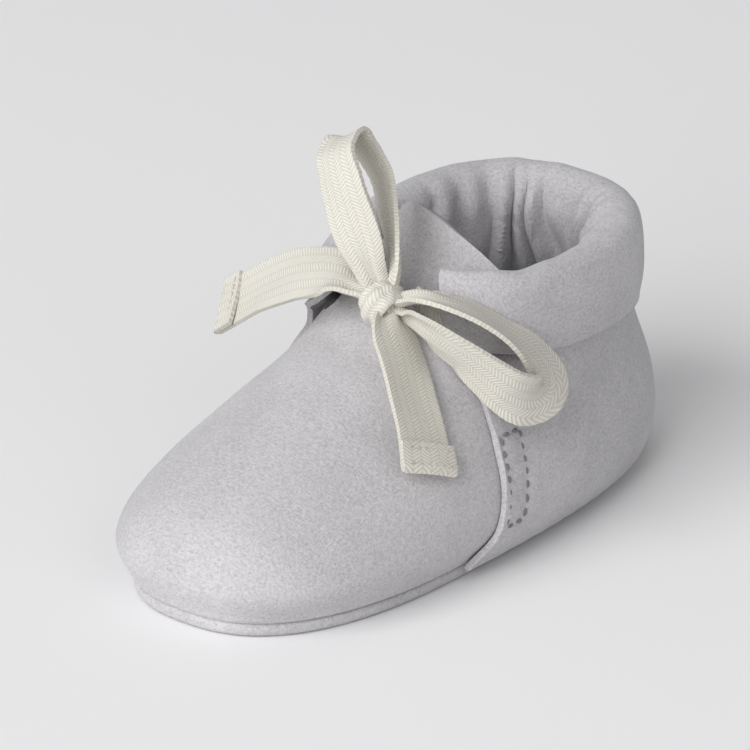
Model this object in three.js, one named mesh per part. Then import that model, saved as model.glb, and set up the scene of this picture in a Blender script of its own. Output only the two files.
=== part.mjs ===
// Soft baby bootie with a fold-down cuff, a tongue and a tape bow.
// Millimetres, +Z up, toe towards -Y, heel towards +Y. The origin is the middle of the sole's flat underside.
import * as THREE from "three";
import { mergeVertices } from "three/addons/utils/BufferGeometryUtils.js";

// ---- Overall shape ---------------------------------------------------------------------------
// The upper follows a stack of closed rings from the sole's edge to the rim. Each ring is two half
// super-ellipses, one round the toe and one round the heel, that meet at its widest line.
const RINGS = [
  { toe: -51.0, heel: 49.0, widest: -10.0, half: 22.0, toeZ: 0.0, heelZ: 0.0, toePower: 2.6, heelPower: 2.6 },
  { toe: -55.8, heel: 52.8, widest: -12.0, half: 24.4, toeZ: 1.2, heelZ: 1.2, toePower: 2.5, heelPower: 2.7 },
  { toe: -56.4, heel: 52.6, widest: -12.0, half: 25.4, toeZ: 3.4, heelZ: 3.2, toePower: 2.5, heelPower: 2.7 },
  { toe: -58.0, heel: 53.0, widest: -10.0, half: 28.2, toeZ: 9.0, heelZ: 8.5, toePower: 2.5, heelPower: 2.5 },
  { toe: -53.6, heel: 52.2, widest: -4.0, half: 26.0, toeZ: 16.5, heelZ: 16.0, toePower: 2.2, heelPower: 2.5 },
  { toe: -41.5, heel: 50.4, widest: 3.5, half: 22.6, toeZ: 22.8, heelZ: 23.3, toePower: 1.8, heelPower: 2.5 },
  { toe: -26.9, heel: 48.4, widest: 12.0, half: 21.0, toeZ: 27.8, heelZ: 30.0, toePower: 1.6, heelPower: 2.4 },
  { toe: -10.4, heel: 47.2, widest: 19.0, half: 20.4, toeZ: 33.3, heelZ: 37.0, toePower: 1.9, heelPower: 2.4 },
  { toe: 1.8, heel: 46.6, widest: 24.0, half: 19.8, toeZ: 42.6, heelZ: 45.0, toePower: 2.1, heelPower: 2.3 },
];
const LENGTH_SCALE = 1; // stretches the whole shoe along its length
const WIDTH_SCALE = 1; // stretches it across
const HEIGHT_SCALE = 1; // stretches it upwards

// ---- Fabric and padding ----------------------------------------------------------------------
const SHELL = 1.2; // outer fabric, with its backing
const LINING = 0.8;
const PLY_GAP = 0.4; // air left between two plies that lie on each other
const SOLE = 2.6; // outsole, two plies and its turned seam
const PADDING = 2.5; // foam under the insole
const INSOLE = 0.9;
const SEAM_V = 0.262; // lower edge of the quarter on the ring stack
const VAMP_SEAM_V = 0.24; // lower edge of the vamp, which is tucked in a little further
const OUTSOLE_V = 0.19; // height whose outline the outsole has
const SOLE_V = 0.25; // height whose outline the padding and insole follow, inside the upper
const SOLE_EASE = 0.3; // room left round the padding
const SOLE_EDGE = 0.7; // rounding of the outsole's turned edge
const QUARTER_LINING_INSET = 1.1; // the quarter lining hangs this far inside the foot shape
const QUARTER_LINING_TOP_V = 0.965;
const QUARTER_LINING_STEP = 3; // degrees left between the quarter lining and the vamp
const RIM_V = 0.985; // top edge of the quarter

// ---- Openings and flaps ----------------------------------------------------------------------
// Half-angle of the front opening, measured round from the toe, at each height on the ring stack.
const QUARTER_EDGE = [[0.2, 88], [0.375, 90], [0.5, 88], [0.625, 78], [0.75, 61], [0.875, 39], [1, 20]];
const OVERLAP = 17; // degrees that the vamp runs on under the quarter
const VAMP_TOP_V = 0.872;
const TONGUE_HALF = 10.6;
const TONGUE_SHIFT = 0.7; // the tongue sits a little to one side
const TONGUE_CROWN = 4.9; // how far its side edges lie behind its middle
const TONGUE_CURL = 2.0; // further curl of its side edges towards the top
const TONGUE_TOP_ROUND = 3.4; // drop of its top corners
const TONGUE_TOP_SLANT = 2.0; // further drop of the +X corner, and rise of the other
const TONGUE_SPARE = 0.07; // share of its rise that only its raised corner uses
const TONGUE_RISE = [[-9.3, 34.7], [2.6, 39.9], [6.6, 43.5], [9.4, 50.6]]; // y and z up its middle
const CUFF = 1.4; // cuff wall, two plies
const CUFF_STEP = 2.0; // inner face of the turned-down leg over the shell
const CUFF_FLARE = 1.9; // extra room at the front corners, where the tape is sewn in
const CUFF_INSIDE = -3.1; // middle of the leg inside the rim
const CUFF_INSIDE_FRONT = -1.1; // the same at the front corners, where there is no lining behind it
const CUFF_INNER_V = 0.964; // lower edge of that leg
const CUFF_CREST = 2.3; // rise of the fold over the rim
// Lower hem, by degrees round from the heel to the front corner.
const CUFF_HEM_V = [[0, 0.69], [45, 0.725], [90, 0.775], [135, 0.82], [165, 0.86]];
const CUFF_TURNS = { innerEnd: 0.12, crestEnd: 0.4 }; // shares of its width up to and over the fold
const LINING_ARC = 118; // how far round from the heel the quarter lining reaches at most
const ELASTIC_V = [0.915, 0.965];
const ELASTIC_ARC = 78; // degrees each way from the heel
const ELASTIC = 0.7;
const ELASTIC_INSET = 0.1;

// ---- Bow -------------------------------------------------------------------------------------
const TAPE = 10; // tape width
const TAPE_WALL = 1.0;
const KNOT = [3.0, -7.6, 41.0];
const KNOT_SIZE = [7.6, 5.6, 7.4];
const STRAP = 4.2; // width that the tape is drawn in to between the cuff and the knot
const STRAP_V = 0.935;
const STRAP_ARC = [29, 38, 47]; // degrees from the toe where it leaves the cuff, and where it is sewn in
const STRAP_LIFT = 0.7; // its middle over the inner face of the cuff at rest
const STRAP_START = { left: -0.6, right: 3.7 }; // height of its knot end over the knot's middle
const STRAP_BEHIND = 1.9; // room between the knot's back and the strap's end
const STRAP_INSET = 1.6; // how far that end lies inside the knot's side
const GATHER = 0.42; // share of its width that the tape loses at the knot
const GATHER_REACH = 0.13; // share of its length over which it opens out again
const THREAD = 0.6; // thickness of the box stitch
const BOX_STITCH_V = [0.345, 0.575];
const BOX_STITCH_BACK = [1.3, 5.9]; // its two sides, behind the quarter's front edge
const BOX_STITCH_LIFT = 0.3; // clear of the cloth
const KNOT_TILT = -32;

const rad = THREE.MathUtils.degToRad;
const lerp = THREE.MathUtils.lerp;
const scaled = (x, y, z) => new THREE.Vector3(x * WIDTH_SCALE, y * LENGTH_SCALE, z * HEIGHT_SCALE);

// Smooth curve through [x, y] rows, flat past its ends.
function table(rows, x) {
  const last = rows.length - 1;
  if (x <= rows[0][0]) return rows[0][1];
  if (x >= rows[last][0]) return rows[last][1];
  const i = rows.findIndex((row) => row[0] > x) - 1;
  const slope = (k) => {
    const a = rows[Math.max(k - 1, 0)];
    const b = rows[Math.min(k + 1, last)];
    return (b[1] - a[1]) / (b[0] - a[0]);
  };
  const step = rows[i + 1][0] - rows[i][0];
  const f = (x - rows[i][0]) / step;
  const start = (2 * f ** 3 - 3 * f * f + 1) * rows[i][1] + (f ** 3 - 2 * f * f + f) * step * slope(i);
  return start + (3 * f * f - 2 * f ** 3) * rows[i + 1][1] + (f ** 3 - f * f) * step * slope(i + 1);
}

function ringAt(v) {
  const last = RINGS.length - 1;
  const t = THREE.MathUtils.clamp(v, 0, 1) * last;
  const i = Math.min(Math.floor(t), last - 1);
  const f = t - i;
  const ring = {};
  for (const key of Object.keys(RINGS[0])) {
    const b = RINGS[i][key];
    const c = RINGS[i + 1][key];
    const a = i > 0 ? RINGS[i - 1][key] : 2 * b - c;
    const d = i + 2 <= last ? RINGS[i + 2][key] : 2 * c - b;
    const cubic = (-a + 3 * b - 3 * c + d) * f ** 3;
    ring[key] = 0.5 * (2 * b + (c - a) * f + (2 * a - 5 * b + 4 * c - d) * f * f + cubic);
  }
  return ring;
}

// Outer face of the foot shape. angle is 0 at the heel and 180 at the toe, positive on +X.
function foot(angle, v) {
  const ring = ringAt(v);
  const c = Math.cos(rad(angle));
  const s = Math.sin(rad(angle));
  const k = 2 / (c > 0 ? ring.heelPower : ring.toePower);
  const across = Math.sign(s) * Math.abs(s) ** k;
  const along = Math.sign(c) * Math.abs(c) ** k;
  const reach = c > 0 ? ring.heel - ring.widest : ring.widest - ring.toe;
  const y = ring.widest + reach * along;
  const z = ring.toeZ + (ring.heelZ - ring.toeZ) * (y - ring.toe) / (ring.heel - ring.toe);
  return scaled(ring.half * across, y, z);
}

// Small patch of the foot shape round a point, as a surface whose middle is that point.
const PATCH = { arc: 4, rise: 0.02 };
const footPatch = (angle, v) => (p, q) => foot(angle - PATCH.arc * (p - 0.5), v + PATCH.rise * (q - 0.5));

function normalOf(surface, a, b) {
  const e = 0.002;
  const along = surface(Math.min(a + e, 1), b).sub(surface(Math.max(a - e, 0), b));
  const up = surface(a, Math.min(b + e, 1)).sub(surface(a, Math.max(b - e, 0)));
  return along.cross(up).normalize();
}

// A closed ply of cloth: a box whose grid is laid on a surface and given its thickness along the
// surface's own direction, from low to high. Low and high may be numbers or functions of (a, b).
function ply(name, material, surface, low, high, na, nb) {
  const at = (value, a, b) => (typeof value === "function" ? value(a, b) : value);
  const box = new THREE.BoxGeometry(1, 1, 1, na, nb, 1);
  box.deleteAttribute("normal");
  box.deleteAttribute("uv");
  const position = box.attributes.position;
  for (let i = 0; i < position.count; i += 1) {
    const a = position.getX(i) + 0.5;
    const b = position.getY(i) + 0.5;
    const c = position.getZ(i) + 0.5;
    const offset = at(low, a, b) * (1 - c) + at(high, a, b) * c;
    const point = surface(a, b).addScaledVector(normalOf(surface, a, b), offset);
    position.setXYZ(i, point.x, point.y, point.z);
  }
  const geometry = mergeVertices(box, 1e-5);
  geometry.computeVertexNormals();
  const mesh = new THREE.Mesh(geometry, material);
  mesh.name = name;
  return mesh;
}

// ---- Materials -------------------------------------------------------------------------------
const brushed = new THREE.MeshStandardMaterial({ color: 0xb9b7ba, roughness: 0.95, metalness: 0 });
const lined = new THREE.MeshStandardMaterial({ color: 0xa9a7aa, roughness: 0.95, metalness: 0 });
const foam = new THREE.MeshStandardMaterial({ color: 0xe4e2dc, roughness: 0.9, metalness: 0 });
const twill = new THREE.MeshStandardMaterial({ color: 0xd6d2c6, roughness: 0.9, metalness: 0 });
const thread = new THREE.MeshStandardMaterial({ color: 0x97959a, roughness: 0.8, metalness: 0 });
const rubber = new THREE.MeshStandardMaterial({ color: 0xf0efec, roughness: 0.85, metalness: 0 });

// ---- Sole ------------------------------------------------------------------------------------
// Flat plate with the sole's outline, inset from the ring at height v.
function solePlate(name, material, v, inset, bottom, thickness, round) {
  const outline = [];
  const steps = 48;
  for (let i = 0; i < steps; i += 1) {
    const angle = (360 * i) / steps;
    const edge = foot(angle, v);
    const out = normalOf(footPatch(angle, v), 0.5, 0.5);
    const flat = new THREE.Vector2(out.x, out.y).normalize();
    outline.push(new THREE.Vector2(edge.x - flat.x * (inset + round), edge.y - flat.y * (inset + round)));
  }
  const shape = new THREE.Shape(outline);
  const bevel = round > 0;
  const options = { depth: thickness - 2 * round, steps: 1, bevelEnabled: bevel };
  if (bevel) Object.assign(options, { bevelThickness: round, bevelSize: round, bevelSegments: 2 });
  const geometry = new THREE.ExtrudeGeometry(shape, options);
  geometry.translate(0, 0, bottom + round);
  geometry.deleteAttribute("normal");
  geometry.deleteAttribute("uv");
  const mesh = new THREE.Mesh(mergeVertices(geometry, 1e-5), material);
  mesh.name = name;
  return mesh;
}

// ---- Vamp and tongue -------------------------------------------------------------------------
const quarterEdge = (v) => table(QUARTER_EDGE, v);
const vampEdge = (v) => quarterEdge(v) + OVERLAP;

function vampSurface(a, b) {
  const v = lerp(VAMP_SEAM_V, VAMP_TOP_V, b);
  return foot(180 + vampEdge(v) * (1 - 2 * a), v);
}

const tongueRise = new THREE.CubicBezierCurve(
  ...TONGUE_RISE.map(([y, z]) => new THREE.Vector2(y * LENGTH_SCALE, z * HEIGHT_SCALE)),
);

function tongueSurface(a, b) {
  const side = 2 * a - 1;
  const length = tongueRise.getLength();
  const cornerDrop = (TONGUE_TOP_ROUND * side ** 4 + TONGUE_TOP_SLANT * side) / length;
  const t = (1 - TONGUE_SPARE) * b * (1 - cornerDrop);
  const middle = tongueRise.getPointAt(t);
  const x = (TONGUE_SHIFT * b + TONGUE_HALF * side) * WIDTH_SCALE;
  const behind = (TONGUE_CROWN + TONGUE_CURL * b) * side * side * LENGTH_SCALE;
  return new THREE.Vector3(x, middle.x + behind, middle.y);
}

// ---- Quarter, cuff and elastic ---------------------------------------------------------------
function quarterSurface(a, b) {
  const v = lerp(SEAM_V, RIM_V, b);
  return foot((180 - quarterEdge(v)) * (1 - 2 * a), v);
}

function quarterLiningSurface(a, b) {
  const v = lerp(SEAM_V, QUARTER_LINING_TOP_V, b);
  const start = Math.min(180 - vampEdge(v) - QUARTER_LINING_STEP, LINING_ARC);
  return foot(start * (1 - 2 * a), v);
}

// Middle surface of the cuff: up the inside of the rim, over it and down to the hem outside.
function cuffSurface(a, b) {
  const { innerEnd, crestEnd } = CUFF_TURNS;
  const share = 1 - 2 * a;
  const round = Math.abs(share); // 0 at the heel, 1 at the front corners
  const flare = CUFF_FLARE * THREE.MathUtils.smoothstep(round, 0.66, 0.9);
  const outside = CUFF_STEP + CUFF / 2 + flare;
  const inside = lerp(CUFF_INSIDE, CUFF_INSIDE_FRONT, THREE.MathUtils.smoothstep(round, 0.79, 0.88));
  const place = (v, offset, lift) => {
    const angle = (180 - quarterEdge(v)) * share;
    const out = normalOf(footPatch(angle, v - PATCH.rise / 2), 0.5, 0.5);
    const point = foot(angle, v).addScaledVector(out, offset);
    point.z += lift;
    return point;
  };
  if (b < innerEnd) return place(lerp(CUFF_INNER_V, RIM_V, b / innerEnd), inside, 0);
  if (b <= crestEnd) {
    const turn = Math.PI * (b - innerEnd) / (crestEnd - innerEnd);
    const middle = (outside + inside) / 2;
    const reach = (outside - inside) / 2;
    return place(RIM_V, middle - reach * Math.cos(turn), CUFF_CREST * Math.sin(turn));
  }
  const hem = table(CUFF_HEM_V, round * CUFF_HEM_V.at(-1)[0]);
  return place(lerp(RIM_V, hem, (b - crestEnd) / (1 - crestEnd)), outside, 0);
}

function elasticSurface(a, b) {
  return foot(ELASTIC_ARC * (1 - 2 * a), lerp(ELASTIC_V[0], ELASTIC_V[1], b));
}

// ---- Bow -------------------------------------------------------------------------------------
const knot = scaled(...KNOT);

// A length of flat tape along rows of [point, direction across the tape], drawn in where it enters the knot.
function tape(name, rows, width, steps, gathered) {
  const path = new THREE.CatmullRomCurve3(rows.map(([point]) => point));
  const across = new THREE.CatmullRomCurve3(rows.map(([, side]) => side));
  const surface = (a, b) => {
    const side = across.getPoint(a).normalize();
    const drawnIn = gathered.reduce((sum, end) => sum + Math.exp(-(((a - end) / GATHER_REACH) ** 2)), 0);
    return path.getPoint(a).addScaledVector(side, (b - 0.5) * width * (1 - GATHER * drawnIn));
  };
  return ply(name, twill, surface, -TAPE_WALL / 2, TAPE_WALL / 2, steps, 1);
}

// The stretch of tape from under the cuff's front corner to the knot.
function strap(side, sign) {
  const inset = sign * (KNOT_SIZE[0] / 2 - STRAP_INSET);
  const start = knot.clone().add(new THREE.Vector3(inset, KNOT_SIZE[1] / 2 + STRAP_BEHIND, STRAP_START[side]));
  const rows = [[start, new THREE.Vector3(0, 0.35, 0.94)]];
  STRAP_ARC.forEach((arc) => {
    const patch = footPatch(sign * (180 - arc), STRAP_V);
    const point = patch(0.5, 0.5).addScaledVector(normalOf(patch, 0.5, 0.5), CUFF_STEP + STRAP_LIFT);
    rows.push([point, patch(0.5, 1).sub(patch(0.5, 0)).normalize()]);
  });
  return tape(`tie_strap_${side}`, sign > 0 ? rows : rows.reverse(), STRAP, 10, []);
}

// Angle round from the heel at which the ring at height v has that y.
function angleAt(y, v) {
  const ring = ringAt(v);
  const behind = y > ring.widest;
  const reach = behind ? ring.heel - ring.widest : ring.widest - ring.toe;
  const power = behind ? ring.heelPower : ring.toePower;
  const turn = THREE.MathUtils.radToDeg(Math.asin((Math.abs(y - ring.widest) / reach) ** (power / 2)));
  return 90 + (behind ? -turn : turn);
}

// The rectangle of thread that holds the quarter's front edge down on the vamp: a ring with square
// corners, laid on a window of the quarter beside its front edge.
function boxStitch(name, sign) {
  const margin = 0.1; // the window runs on past the rectangle on each side
  const tube = 0.25; // share of the ring's radius
  const window = (share, [low, high]) => lerp(low, high, (share - margin) / (1 - 2 * margin));
  const surface = (a, b) => {
    const v = window(b, BOX_STITCH_V);
    const edge = foot(180 - quarterEdge(v), v).y / LENGTH_SCALE;
    const back = window(sign > 0 ? a : 1 - a, BOX_STITCH_BACK);
    return foot(sign * angleAt(edge + back, v), v);
  };
  const width = BOX_STITCH_BACK[1] - BOX_STITCH_BACK[0];
  const height = foot(90, BOX_STITCH_V[1]).z - foot(90, BOX_STITCH_V[0]).z;
  const ring = new THREE.TorusGeometry(1, tube, 6, 28);
  ring.deleteAttribute("normal");
  ring.deleteAttribute("uv");
  const position = ring.attributes.position;
  for (let i = 0; i < position.count; i += 1) {
    const p = new THREE.Vector3().fromBufferAttribute(position, i);
    const radius = Math.hypot(p.x, p.y);
    const square = (Math.abs(p.x / radius) ** 8 + Math.abs(p.y / radius) ** 8) ** (1 / 8);
    const out = ((radius - 1) / tube) * THREAD;
    const a = 0.5 + (p.x / radius / square) * (0.5 - margin) * (1 + out / width);
    const b = 0.5 + (p.y / radius / square) * (0.5 - margin) * (1 + out / height);
    const lift = PLY_GAP + SHELL + BOX_STITCH_LIFT + (THREAD / 2) * (1 + p.z / tube);
    const point = surface(a, b).addScaledVector(normalOf(surface, a, b), lift);
    position.setXYZ(i, point.x, point.y, point.z);
  }
  const mesh = new THREE.Mesh(mergeVertices(ring, 1e-5), thread);
  mesh.name = name;
  return mesh;
}

function bowKnot() {
  const box = new THREE.BoxGeometry(2, 2, 2, 4, 4, 4);
  box.deleteAttribute("normal");
  box.deleteAttribute("uv");
  const position = box.attributes.position;
  for (let i = 0; i < position.count; i += 1) {
    const p = new THREE.Vector3().fromBufferAttribute(position, i);
    const size = (Math.abs(p.x) ** 4 + Math.abs(p.y) ** 4 + Math.abs(p.z) ** 4) ** 0.25;
    p.divideScalar(size);
    position.setXYZ(i, (p.x * KNOT_SIZE[0]) / 2, (p.y * KNOT_SIZE[1]) / 2, (p.z * KNOT_SIZE[2]) / 2);
  }
  const geometry = mergeVertices(box, 1e-5);
  geometry.rotateX(rad(KNOT_TILT));
  const mesh = new THREE.Mesh(geometry, twill);
  mesh.name = "bow_knot";
  mesh.position.copy(knot);
  return mesh;
}

// Points run from the knot, out and back to it; each row is a point and the direction across the tape.
// They are laid for a 10 mm tape. A tape of another width keeps the edge that lies towards the shoe:
// the one on the side that "inner" says, or neither where it is 0.
const LAID_FOR = 10;
const BOW = {
  bow_loop_left: {
    steps: 24,
    inner: 0,
    rows: [
      [[0.1, -7.2, 45.1], [0.97, 0.23, 0.05]],
      [[-1.6, -8.0, 49.9], [0.99, 0.17, 0.03]],
      [[-4.2, -8.1, 55.6], [0.99, 0.01, 0.11]],
      [[-6.6, -7.5, 60.6], [0.97, -0.14, 0.18]],
      [[-8.8, -5.7, 64.0], [0.89, -0.33, 0.31]],
      [[-9.9, -1.7, 65.1], [0.77, -0.45, 0.44]],
      [[-8.8, 1.2, 62.5], [0.72, -0.45, 0.53]],
      [[-6.1, 2.3, 58.1], [0.74, -0.42, 0.52]],
      [[-3.5, 0.6, 53.8], [0.76, -0.47, 0.44]],
      [[-0.4, -1.8, 50.2], [0.75, -0.55, 0.37]],
      [[2.8, -5.1, 45.9], [0.75, -0.56, 0.35]],
    ],
  },
  bow_loop_right: {
    steps: 24,
    inner: -1,
    rows: [
      [[8.2, -6.85, 39.2], [0.41, -0.91, -0.07]],
      [[13.1, -9.1, 39.2], [0.40, -0.91, -0.08]],
      [[20.1, -10.1, 37.7], [0.39, -0.92, -0.10]],
      [[25.1, -8.1, 34.2], [0.39, -0.91, -0.17]],
      [[28.3, -5.1, 31.1], [0.43, -0.85, -0.31]],
      [[29.7, -1.5, 29.5], [0.59, -0.72, -0.37]],
      [[29.7, 1.8, 30.7], [0.88, -0.45, -0.17]],
      [[27.7, 1.3, 35.2], [0.83, -0.55, 0.00]],
      [[24.2, -1.7, 39.7], [0.77, -0.63, 0.08]],
      [[19.3, -4.7, 42.9], [0.71, -0.70, 0.09]],
      [[14.0, -6.8, 44.3], [0.66, -0.75, 0.10]],
      [[9.4, -6.6, 43.8], [0.66, -0.75, 0.10]],
    ],
  },
  bow_tail_left: {
    steps: 14,
    inner: -1,
    rows: [
      [[-1.9, -8.0, 42.7], [0.58, -0.79, -0.18]],
      [[-6.9, -8.0, 43.8], [0.66, -0.70, -0.26]],
      [[-14.4, -7.6, 41.7], [0.68, -0.67, -0.31]],
      [[-24.0, -5.9, 36.3], [0.65, -0.68, -0.34]],
      [[-34.2, -5.0, 28.9], [0.68, -0.68, -0.26]],
    ],
  },
  bow_tail_right: {
    steps: 14,
    inner: 1,
    rows: [
      [[7.2, -10.8, 39.2], [0.25, 0.91, -0.33]],
      [[10.4, -12.4, 35.3], [0.15, 0.95, -0.28]],
      [[14.8, -15.3, 30.8], [0.15, 0.95, -0.28]],
      [[19.3, -18.2, 26.3], [0.17, 0.95, -0.26]],
      [[23.8, -21.6, 21.4], [0.26, 0.94, -0.22]],
    ],
  },
};

const bootie = new THREE.Group();
bootie.add(solePlate("outsole", brushed, OUTSOLE_V, 0, 0, SOLE, SOLE_EDGE));
const wall = SHELL + PLY_GAP + LINING + PLY_GAP;
const insoleInset = wall + SOLE_EASE;
bootie.add(solePlate("sole_padding", foam, SOLE_V, insoleInset, SOLE + PLY_GAP, PADDING, 0));
const insoleBottom = SOLE + PADDING + 2 * PLY_GAP;
bootie.add(solePlate("insole_lining", lined, SOLE_V, insoleInset, insoleBottom, INSOLE, 0));
bootie.add(ply("vamp_outer", brushed, vampSurface, -SHELL, 0, 36, 16));
bootie.add(ply("vamp_lining", lined, vampSurface, -SHELL - PLY_GAP - LINING, -SHELL - PLY_GAP, 30, 12));
bootie.add(ply("tongue_outer", brushed, tongueSurface, -SHELL, 0, 8, 8));
bootie.add(ply("tongue_lining", lined, tongueSurface, -SHELL - PLY_GAP - LINING, -SHELL - PLY_GAP, 8, 8));
bootie.add(ply("quarter_outer", brushed, quarterSurface, PLY_GAP, PLY_GAP + SHELL, 44, 16));
const liningFace = -QUARTER_LINING_INSET;
bootie.add(ply("quarter_lining", lined, quarterLiningSurface, liningFace - LINING, liningFace, 32, 12));
bootie.add(ply("cuff", brushed, cuffSurface, -CUFF / 2, CUFF / 2, 44, 16));
const elasticFace = -ELASTIC_INSET;
bootie.add(ply("heel_elastic", rubber, elasticSurface, elasticFace - ELASTIC, elasticFace, 24, 1));
for (const [side, sign] of [["left", -1], ["right", 1]]) {
  bootie.add(boxStitch(`box_stitch_${side}`, sign));
  bootie.add(strap(side, sign));
}
bootie.add(bowKnot());
// A bow keeps its own size on a longer or wider shoe, so its points go with the knot.
for (const [name, { rows, steps, inner }] of Object.entries(BOW)) {
  const laid = rows.map(([point, across]) => {
    const side = new THREE.Vector3(...across);
    const fromKnot = new THREE.Vector3(...point).sub(new THREE.Vector3(...KNOT));
    return [fromKnot.add(knot).addScaledVector(side, (-inner * (TAPE - LAID_FOR)) / 2), side];
  });
  bootie.add(tape(name, laid, TAPE, steps, name.includes("loop") ? [0, 1] : [0]));
}

export default bootie;
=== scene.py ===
from math import asin, atan2, cos, degrees, exp, floor, hypot, pi, radians, sin

import bmesh
import bpy
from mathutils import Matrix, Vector, noise


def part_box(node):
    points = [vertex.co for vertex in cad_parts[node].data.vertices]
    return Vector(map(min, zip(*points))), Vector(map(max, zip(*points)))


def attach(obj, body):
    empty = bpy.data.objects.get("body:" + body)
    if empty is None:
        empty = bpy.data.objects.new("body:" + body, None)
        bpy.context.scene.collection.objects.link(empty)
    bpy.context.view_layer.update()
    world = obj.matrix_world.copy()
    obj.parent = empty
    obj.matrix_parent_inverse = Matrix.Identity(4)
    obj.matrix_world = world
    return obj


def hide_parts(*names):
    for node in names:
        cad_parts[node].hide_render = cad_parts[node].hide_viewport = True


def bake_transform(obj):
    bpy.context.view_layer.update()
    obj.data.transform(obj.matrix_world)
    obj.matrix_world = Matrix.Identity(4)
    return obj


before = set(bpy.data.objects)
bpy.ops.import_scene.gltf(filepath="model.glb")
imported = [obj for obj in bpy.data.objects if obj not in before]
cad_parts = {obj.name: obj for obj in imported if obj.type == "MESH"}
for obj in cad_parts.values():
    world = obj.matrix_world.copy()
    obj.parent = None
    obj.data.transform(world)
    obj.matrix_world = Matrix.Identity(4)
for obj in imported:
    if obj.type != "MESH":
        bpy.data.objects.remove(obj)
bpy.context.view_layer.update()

# ---- Camera -----------------------------------------------------------------------------------
# A long lens that stands off the toe on the +X side and looks a little down. Lengths in this file
# are in millimetres, and MM turns them into Blender's metres. Seen from the toe, left is -X.
MM = 0.001
CAMERA_TURN = 39.5
CAMERA_HEIGHT = 24.0
CAMERA_AWAY = 1100.0
CAMERA_AIM = Vector((-3.4, -2.4, 24.6))
CAMERA_LENS = 318.0
CAMERA_NEAR = 10.0

camera_data = bpy.data.cameras.new("camera")
camera = bpy.data.objects.new("camera", camera_data)
bpy.context.scene.collection.objects.link(camera)
bpy.context.scene.camera = camera
camera_data.lens = CAMERA_LENS
camera_data.clip_start = CAMERA_NEAR * MM
turn = radians(CAMERA_TURN)
height = radians(CAMERA_HEIGHT)
camera_back = Vector((sin(turn) * cos(height), -cos(turn) * cos(height), sin(height)))
camera.location = (CAMERA_AIM + camera_back * CAMERA_AWAY) * MM
camera.rotation_euler = camera_back.to_track_quat("Z", "Y").to_euler()

# ---- Floor and light --------------------------------------------------------------------------
# A plain pale sheet under the bootie, one large soft light high in front of its toe, a weaker one
# on its right side, and an even pale surround.
FLOOR_SIDE = 30000.0
FLOOR_BELOW = 0.1
FLOOR_COLOUR = (0.89, 0.89, 0.895, 1.0)
SURROUND = (0.80, 0.80, 0.81, 1.0)
SURROUND_STRENGTH = 0.48
LIGHTS = {
    "key_light": {"at": (-100, -2300, 1400), "power": 79.0, "size": 2600},
    "side_light": {"at": (2200, -700, 1500), "power": 6.0, "size": 1800},
}


def plain_material(name, colour, roughness):
    material = bpy.data.materials.new(name)
    material.use_nodes = True
    shader = material.node_tree.nodes["Principled BSDF"]
    shader.inputs["Base Color"].default_value = colour
    shader.inputs["Roughness"].default_value = roughness
    return material, shader


def link_mesh(name, bm):
    mesh = bpy.data.meshes.new(name)
    bm.to_mesh(mesh)
    bm.free()
    piece = bpy.data.objects.new(name, mesh)
    bpy.context.scene.collection.objects.link(piece)
    return piece


floor_bm = bmesh.new()
bmesh.ops.create_grid(floor_bm, x_segments=1, y_segments=1, size=FLOOR_SIDE * MM / 2)
floor_sheet = link_mesh("floor_sheet", floor_bm)
floor_material, _ = plain_material("floor_paper", FLOOR_COLOUR, 0.9)
floor_sheet.data.materials.append(floor_material)
floor_sheet.location.z = -FLOOR_BELOW * MM

for name, light in LIGHTS.items():
    lamp_data = bpy.data.lights.new(name, "AREA")
    lamp_data.energy = light["power"]
    lamp_data.size = light["size"] * MM
    lamp = bpy.data.objects.new(name, lamp_data)
    lamp.location = Vector(light["at"]) * MM
    lamp.rotation_euler = Vector(light["at"]).to_track_quat("Z", "Y").to_euler()
    bpy.context.scene.collection.objects.link(lamp)

world = bpy.data.worlds.new("surround")
world.use_nodes = True
world.node_tree.nodes["Background"].inputs["Color"].default_value = SURROUND
world.node_tree.nodes["Background"].inputs["Strength"].default_value = SURROUND_STRENGTH
bpy.context.scene.world = world
bpy.context.scene.view_settings.view_transform = "Standard"

# ---- Outsole ----------------------------------------------------------------------------------
# A thin sole of the same brushed cloth as the upper, with its edge turned in and gathered a little
# at the seam. The upper's shape is a stack of closed rings: each is two half super-ellipses, one
# round the toe and one round the heel, that meet at the ring's widest line.
RING_KEYS = ("toe", "heel", "widest", "half", "toe_z", "heel_z", "toe_power", "heel_power")
RINGS = [
    (-51.0, 49.0, -10.0, 22.0, 0.0, 0.0, 2.6, 2.6),
    (-55.8, 52.8, -12.0, 24.4, 1.2, 1.2, 2.5, 2.7),
    (-56.4, 52.6, -12.0, 25.4, 3.4, 3.2, 2.5, 2.7),
    (-58.0, 53.0, -10.0, 28.2, 9.0, 8.5, 2.5, 2.5),
    (-53.6, 52.2, -4.0, 26.0, 16.5, 16.0, 2.2, 2.5),
    (-41.5, 50.4, 3.5, 22.6, 22.8, 23.3, 1.8, 2.5),
    (-26.9, 48.4, 12.0, 21.0, 27.8, 30.0, 1.6, 2.4),
    (-10.4, 47.2, 19.0, 20.4, 33.3, 37.0, 1.9, 2.4),
    (1.8, 46.6, 24.0, 19.8, 42.6, 45.0, 2.1, 2.3),
]
SOLE_HEIGHT = 2.6
SOLE_OUTLINE_V = 0.19
SOLE_INSET = 0.3
PUCKER_PITCH = 3.1
PUCKER_DEPTH = 0.08
PUCKER_ROUND = 300
SOLE_STEPS = (240, 12)
SOLE_FLAT = (300, 25)
SOLE_EDGE = 0.9
WELD_DISTANCE = 0.02
EDGE_ANGLE = 50
YARN_SCALE, YARN_SHARE = 3100, 0.36
FIBRE_SCALE, FIBRE_SHARE = 4400, 0.28
PATCH_SCALE = 70
NAP_MIDDLE, NAP_CONTRAST = 0.46, 3.4
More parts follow.
